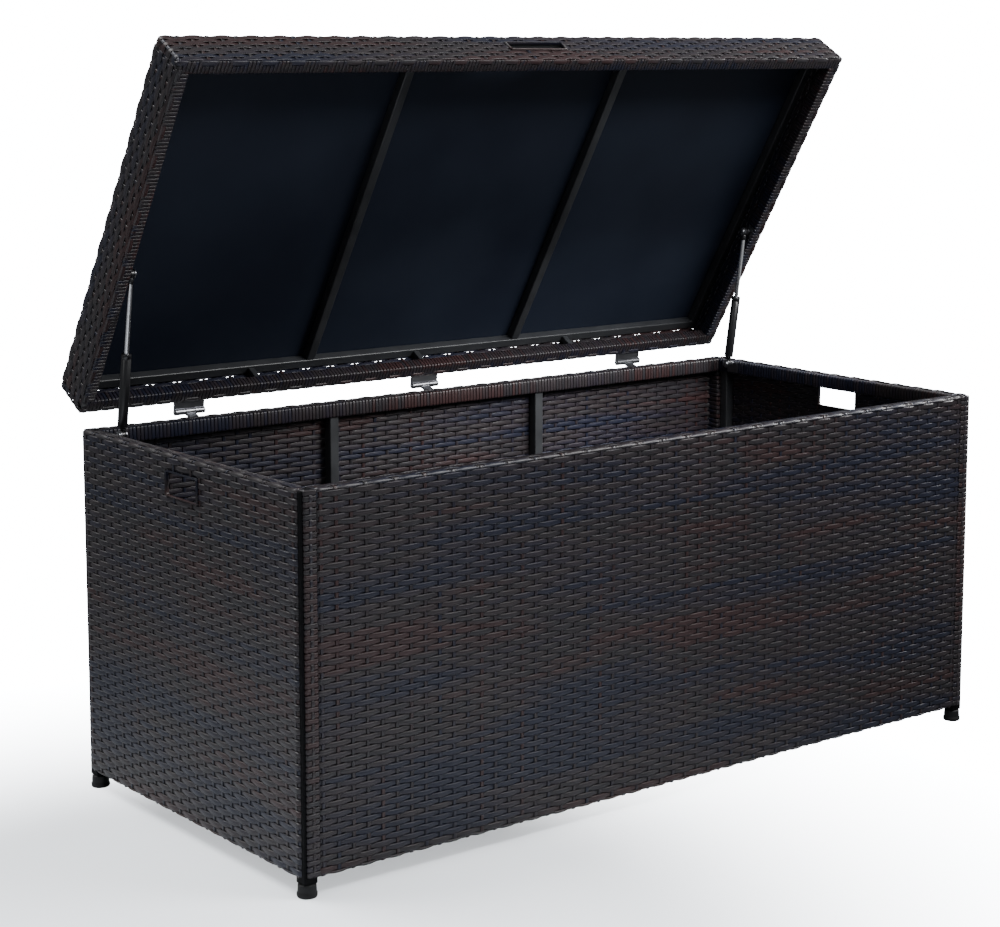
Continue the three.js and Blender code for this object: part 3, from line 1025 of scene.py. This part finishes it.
def makeSteel(values):
    for name, endings, coat, body in (
        # The corner posts take the near-black coat: partly their own black finish, partly painted shade for
        # the corner slits.
        ("corner_posts", "_post", "blackCoat", "box_body"),
        ("body_steel", ("_rail", "_rib", "_stile", "_bearer"), "powderCoat", "box_body"),
        ("lid_steel", ("_tube", "_bar"), "powderCoat", "lid"),
    ):
        tubes = sorted(node for node in nodes if node.endswith(endings))
        piece = roundedCopy(name, tubes, coats[coat], values["bevel"])
        assign(piece, body, "frame_steel", *tubes)
    boxes = []
    half, gap = values["uprightSize"] / 2, values["uprightGap"]
    for face in ("front", "rear"):
        rim, upper = shutBox(f"lid_{face}_rim_tube"), shutBox(f"lid_{face}_upper_tube")
        y = (upper[0].y + upper[1].y) / 2
        for x in values[face + "Uprights"]:
            low, high = (x - half, y - half, rim[1].z + gap), (x + half, y + half, upper[0].z - gap)
            boxes.append((Vector(low), Vector(high)))
    piece = addBars("lid_uprights", boxes, coats["powderCoat"], values["uprightBevel"], lidTurn)
    assign(piece, "lid", "frame_steel")
    piece = roundedCopy("floor_board", ["floor_panel"], coats["floorSheet"], values["boardBevel"])
    assign(piece, "box_body", "floor_board", "floor_panel")


makeSteel(frameValues)
print("steel frame made")


# Liner under the lid.

linerValues = {
    "sag": 0.0035,
    "fullness": 0.7,  # below one, the sag fills out towards the bars
    "ripple": 0.0008,
    "rippleTurns": ((31, 9), (-6, 27)),
    "across": 96,
    "along": 48,
    "thickness": 0.0012,
}


def linerMesh(low, high, values):
    bars = [shutBox(f"lid_{side}_cross_bar") for side in ("left", "right")]
    posts = sorted([low.x, *[(bar[0].x + bar[1].x) / 2 for bar in bars], high.x])
    columns = np.linspace(low.x, high.x, values["across"] + 1)
    rows = np.linspace(low.y, high.y, values["along"] + 1)
    (xFirst, yFirst), (xSecond, ySecond) = values["rippleTurns"]
    points, flat = [], []
    for y in rows:
        for x in columns:
            bay = max(i for i in range(3) if x >= posts[i] - 1e-6)
            u = (x - posts[bay]) / (posts[bay + 1] - posts[bay])
            v = (y - low.y) / (high.y - low.y)
            slack = math.sin(math.pi * min(max(u, 0), 1)) * math.sin(math.pi * v)
            wave = math.sin(x * xFirst + y * yFirst) * math.sin(y * ySecond + x * xSecond)
            drop = values["sag"] * slack ** values["fullness"] + values["ripple"] * slack * wave
            points.append((x, y, (low.z + high.z) / 2 - drop))
            flat.append((x - low.x, y - low.y))
    count = len(columns)
    faces = [
        (r * count + c, r * count + c + 1, (r + 1) * count + c + 1, (r + 1) * count + c)
        for r in range(len(rows) - 1) for c in range(count - 1)
    ]
    mesh = bpy.data.meshes.new("lid_liner_cloth")
    mesh.from_pydata(points, [], faces)
    layer = mesh.uv_layers.new(name="cut")
    for loop in mesh.loops:
        layer.data[loop.index].uv = flat[loop.vertex_index]
    for polygon in mesh.polygons:
        polygon.use_smooth = True
    return mesh


def makeLiner(values):
    low, high = shutBox("lid_liner")
    piece = addPiece("lid_liner_cloth", linerMesh(low, high, values), linerCloth)
    piece.data.transform(lidTurn)
    solid = piece.modifiers.new("clothThickness", "SOLIDIFY")
    solid.thickness = values["thickness"]
    solid.offset = 0
    assign(piece, "lid", "liner_fabric", "lid_liner")


makeLiner(linerValues)
print("liner made")


# Turned pieces: gas struts, bolts and feet.


def turned(name, profile, origin, axis, material, segments=32, closedRing=False):
    # Turns (radius, distance) points round an axis; a ring never touches it.
    axis = Vector(axis).normalized()
    side = axis.orthogonal().normalized()
    other = axis.cross(side)
    shape = bmesh.new()
    rings = []
    for radius, distance in profile:
        centre = Vector(origin) + axis * distance
        if radius < 1e-7:
            rings.append([shape.verts.new(centre)])
            continue
        ring = []
        for i in range(segments):
            angle = 2 * math.pi * i / segments
            ring.append(shape.verts.new(centre + radius * (math.cos(angle) * side + math.sin(angle) * other)))
        rings.append(ring)
    pairs = list(zip(rings, rings[1:]))
    if closedRing:
        pairs.append((rings[-1], rings[0]))
    for first, second in pairs:
        for i in range(segments):
            j = (i + 1) % segments
            if len(first) == 1:
                shape.faces.new((first[0], second[i], second[j]))
            elif len(second) == 1:
                shape.faces.new((first[i], second[0], first[j]))
            else:
                shape.faces.new((first[i], second[i], second[j], first[j]))
    mesh = shapeMesh(name, shape)
    mesh.set_sharp_from_angle(angle=math.radians(frameValues["turnedEdge"]))
    return addPiece(name, mesh, material)


def joinMeshes(name, pieces):
    with bpy.context.temp_override(active_object=pieces[0], selected_editable_objects=pieces):
        bpy.ops.object.join()
    pieces[0].name = name
    pieces[0].data.name = name
    return pieces[0]


strutValues = {
    "cylinderRadius": 0.0092,
    "cylinderRim": 0.0012,
    "rodRadius": 0.0040,
    "rodClearance": 0.0004,
    "eyeRadius": 0.0078,
    "eyeHole": 0.0043,
    "eyeWidth": 0.0076,
    "eyeEdge": 0.0008,
    "washerRadius": 0.0085,
    "headRadius": 0.0066,
    "boltGap": 0.0006,
}


def span(name, origin, axis):
    reach = [(vertex.co - origin).dot(axis) for vertex in nodes[name].data.vertices]
    return min(reach), max(reach)


def makeEye(name, centre, v):
    half, edge = v["eyeWidth"] / 2, v["eyeEdge"]
    inner, outer = v["eyeHole"], v["eyeRadius"]
    profile = [
        (inner, -half + edge), (inner + edge, -half), (outer - edge, -half), (outer, -half + edge),
        (outer, half - edge), (outer - edge, half), (inner + edge, half), (inner, half - edge),
    ]
    return turned(name, profile, centre, (1, 0, 0), coats["cylinderPaint"], closedRing=True)


def makeStrut(side, v):
    foot = Vector(joints[f"{side}_strut_swing"]["pos_m"])
    axis = -Vector(joints[f"{side}_strut_slide"]["axis"]).normalized()
    if axis.z < 0:
        axis = -axis
    cylinder, rod = f"{side}_strut_cylinder", f"{side}_strut_rod"
    foot.x = sum(p.x for p in nodeBox(cylinder)) / 2
    top = span(cylinder, foot, axis)[1]
    rodLow, rodHigh = span(rod, foot, axis)
    head = rodHigh - v["eyeRadius"]
    big, rim, bore = v["cylinderRadius"], v["cylinderRim"], v["rodRadius"] + v["rodClearance"]
    tube = turned(f"{side}_cylinder_tube", [
        (0, 0.006), (0.0034, 0.006), (0.0034, 0.010), (0.0052, 0.0115), (0.0052, 0.015),
        (big - rim, 0.0155), (big - 0.0003, 0.0165), (big, 0.018), (big, top - 0.010),
        (big - 0.0006, top - 0.0092), (big - 0.0006, top - 0.0082), (big, top - 0.0074),
        (big, top - rim - 0.001), (big - 0.0006, top - 0.0007), (big - 0.002, top), (bore, top),
        (bore, 0.024), (0, 0.024),
    ], foot, axis, coats["cylinderPaint"])
    piece = joinMeshes(f"{side}_strut_tube", [tube, makeEye(f"{side}_cylinder_eye", foot, v)])
    assign(piece, cylinder, "black_steel", cylinder)
    small = v["rodRadius"]
    rodTube = turned(f"{side}_rod_tube", [
        (0, rodLow + 0.001), (small - 0.0005, rodLow + 0.001), (small, rodLow + 0.0015),
        (small, head - 0.019), (small, head - 0.007), (0, head - 0.0065),
    ], foot, axis, coats["rodChrome"])
    assign(rodTube, rod, "chrome", rod)
    collar = turned(f"{side}_rod_collar", [
        (small + 0.0002, head - 0.018), (0.0046, head - 0.018), (0.0052, head - 0.0172),
        (0.0052, head - 0.009), (0.0040, head - 0.0066), (small + 0.0002, head - 0.0066),
    ], foot, axis, coats["cylinderPaint"], closedRing=True)
    headPoint = foot + axis * head
    piece = joinMeshes(f"{side}_strut_head", [collar, makeEye(f"{side}_rod_eye", headPoint, v)])
    assign(piece, rod, "black_steel")
    # The stud nodes carry on; each gets a washer and a round-headed bolt beside the eye.
    inward = -1 if side == "right" else 1
    for end, centre, body in (("foot", foot, "box_body"), ("head", headPoint, "lid")):
        start = v["eyeWidth"] / 2 + v["boltGap"]
        w, h = v["washerRadius"], v["headRadius"]
        bolt = turned(f"{side}_{end}_bolt", [
            (0, start), (w - 0.0003, start), (w, start + 0.0003), (w, start + 0.0012),
            (w - 0.0003, start + 0.0015), (h, start + 0.0015), (h, start + 0.0028),
            (h * 0.93, start + 0.0038), (h * 0.7, start + 0.0048), (h * 0.4, start + 0.0053),
            (h * 0.32, start + 0.0053), (h * 0.32, start + 0.0036), (0, start + 0.0036),
        ], centre, (inward, 0, 0), coats["zincPlate"], 24)
        nut = turned(f"{side}_{end}_nut", [
            (0, start), (w, start), (w, start + 0.0010), (h, start + 0.0014), (h, start + 0.0040),
            (h * 0.85, start + 0.0048), (0, start + 0.0050),
        ], centre, (-inward, 0, 0), coats["zincPlate"], 24)
        assign(nut, body, "zinc")
        assign(bolt, body, "zinc")
        dressNode(f"{side}_strut_{end}_stud", coats["zincPlate"])


for side in ("left", "right"):
    makeStrut(side, strutValues)
print("struts made")


# Hinges, feet and screws.

hardwareValues = {
    "hingeBevel": 0.0006,
    "footFlare": 0.0012,
    "neckTaper": 1.4,
    "leafThickness": 0.0025,
    "screwInset": 0.013,  # from the leaf's outer edge to the screws
    "screwSpacing": 0.038,
    "screwRadius": 0.0042,
    "screwRise": 0.0019,
    "screwSlot": 0.0008,
    "screwSpin": 1.5,  # the largest turn of a slot, in radians
}


def screwTree(values):
    # A row of domed cross-slot screw heads along X, facing out along Z.
    tree, given = geometryTree("screwSet", ["radius", "rise", "spacing", "slot"], [], ["count", "seed"])
    ball = flow(tree, "GeometryNodeMeshUVSphere", feeds={"Segments": 20, "Rings": 10, "Radius": 1.0})
    head = moved(tree, ball, Scale=vector(tree, given["radius"], given["radius"], given["rise"]))
    size = vector(tree, given["radius"], given["slot"], given["rise"])
    bar = flow(tree, "GeometryNodeMeshCube", feeds={"Size": size})
    bar = moved(tree, bar, Translation=vector(tree, 0.0, 0.0, given["rise"]))
    for cutter in (bar, moved(tree, bar, Rotation=(0, 0, math.pi / 2))):
        head = flow(tree, "GeometryNodeMeshBoolean", {"operation": "DIFFERENCE"}, {0: head, 1: cutter})
    line = pointRow(tree, given["count"], given["spacing"], "x")
    feeds = {3: values["screwSpin"], "Seed": given["seed"]}
    spin = randomValue(tree, feeds)
    feeds = {"Points": line, "Instance": head, "Rotation": vector(tree, 0.0, 0.0, spin)}
    closeTree(tree, flow(tree, "GeometryNodeInstanceOnPoints", feeds=feeds), given)
    return tree


def makeHinges(values):
    screws = screwTree(values)
    for seed, place in enumerate(("left", "middle", "right")):
        for half, body in (("body", "box_body"), ("lid", "lid")):
            node = f"{place}_hinge_{half}_leaf"
            piece = roundedCopy(f"{place}_{half}_leaf", [node], coats["zincPlate"], values["hingeBevel"], 1)
            assign(piece, body, "zinc", node)
            low, high = shutBox(node) if body == "lid" else nodeBox(node)
            row = growPiece(f"{place}_{half}_screws", screws, {
                "radius": values["screwRadius"], "rise": values["screwRise"], "slot": values["screwSlot"],
                "spacing": values["screwSpacing"], "count": 2, "seed": seed, "material": coats["zincPlate"],
            })
            row.data.set_sharp_from_angle(angle=math.radians(frameValues["flatEdge"]))
            height = high.z - values["screwInset"] if body == "lid" else low.z + values["screwInset"]
            middle = Vector(((low.x + high.x) / 2, low.y + values["leafThickness"], height))
            finishPiece(row, placement(middle, (-1, 0, 0), (0, 0, 1)), body, "zinc")


def makeFoot(name, values):
    low, high = nodeBox(name)
    middle = (low + high) / 2
    radius, top, f = (high.x - low.x) / 2, high.z, values["footFlare"]
    neck = radius - f * values["neckTaper"]
    piece = turned(f"{name}_cap", [
        (0, 0.0), (radius - 0.0030, 0.0), (radius - 0.0010, 0.0006), (radius - 0.0002, 0.0020),
        (radius, 0.0040), (radius, 0.0070), (radius - f, 0.0085), (radius - f, 0.0100),
        (neck, top - 0.0015), (neck - 0.0015, top), (0, top),
    ], (middle.x, middle.y, 0), (0, 0, 1), coats["footPlastic"], 48)
    assign(piece, "box_body", "black_plastic", name)


makeHinges(hardwareValues)
for end in ("front", "rear"):
    for side in ("left", "right"):
        makeFoot(f"{end}_{side}_foot", hardwareValues)
print("hinges and feet made")
